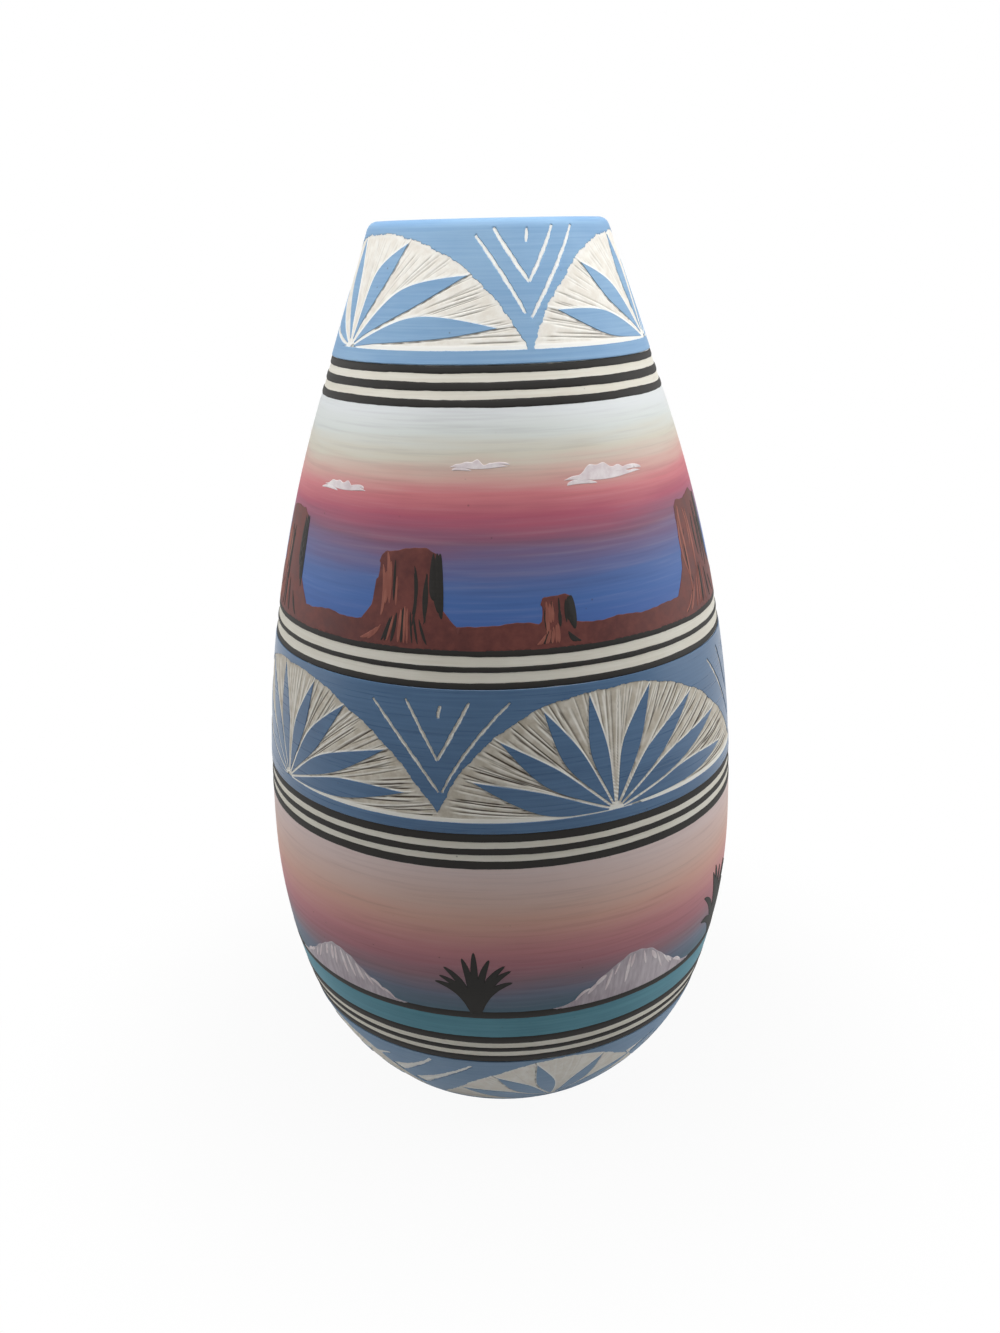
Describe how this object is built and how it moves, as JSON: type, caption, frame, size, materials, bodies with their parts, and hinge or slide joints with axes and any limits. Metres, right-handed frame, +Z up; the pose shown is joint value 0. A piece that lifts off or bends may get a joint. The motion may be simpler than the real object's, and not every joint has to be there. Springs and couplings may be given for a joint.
{
  "type": "vase",
  "caption": "Tall egg-shaped pottery vase with a narrow straight neck, painted picture bands, black lines and fan ornament scraped through blue slip; holds stems.",
  "frame": {"origin": "middle of the foot, on the surface that the vase stands on", "axes": "+Z up along the vase's axis, -Y towards the side that the picture shows, +X to its right"},
  "size_m": [0.1382, 0.1382, 0.25],
  "materials": {
    "bare_clay": "unglazed pale earthenware, scraped rough inside the fans",
    "blue_slip": "matt blue slip, brushed in level strokes",
    "line_paint": "matt black paint, drawn by brush",
    "upper_sky_paint": "matt paint blended from pale green-white through rose to blue",
    "land_paint": "matt maroon-brown paint with black strokes",
    "white_paint": "matt white paint, thinly brushed",
    "lower_sky_paint": "matt paint blended from warm grey through peach to blue",
    "turquoise_paint": "matt turquoise paint, brushed in level strokes"
  },
  "bodies": {
    "root": {"clay_body": "bare_clay", "neck_slip_band": "blue_slip", "neck_fan_petals": "blue_slip", "neck_lines": "line_paint", "upper_sky": "upper_sky_paint", "upper_land": "land_paint", "upper_clouds": "white_paint", "waist_lines": "line_paint", "middle_slip_band": "blue_slip", "middle_fan_petals": "blue_slip", "belly_lines": "line_paint", "lower_sky": "lower_sky_paint", "lower_hills": "white_paint", "lower_plants": "line_paint", "ground_line": "line_paint", "turquoise_strip": "turquoise_paint", "foot_lines": "line_paint", "foot_slip_band": "blue_slip", "foot_fan_petals": "blue_slip"}
  },
  "joints": []
}
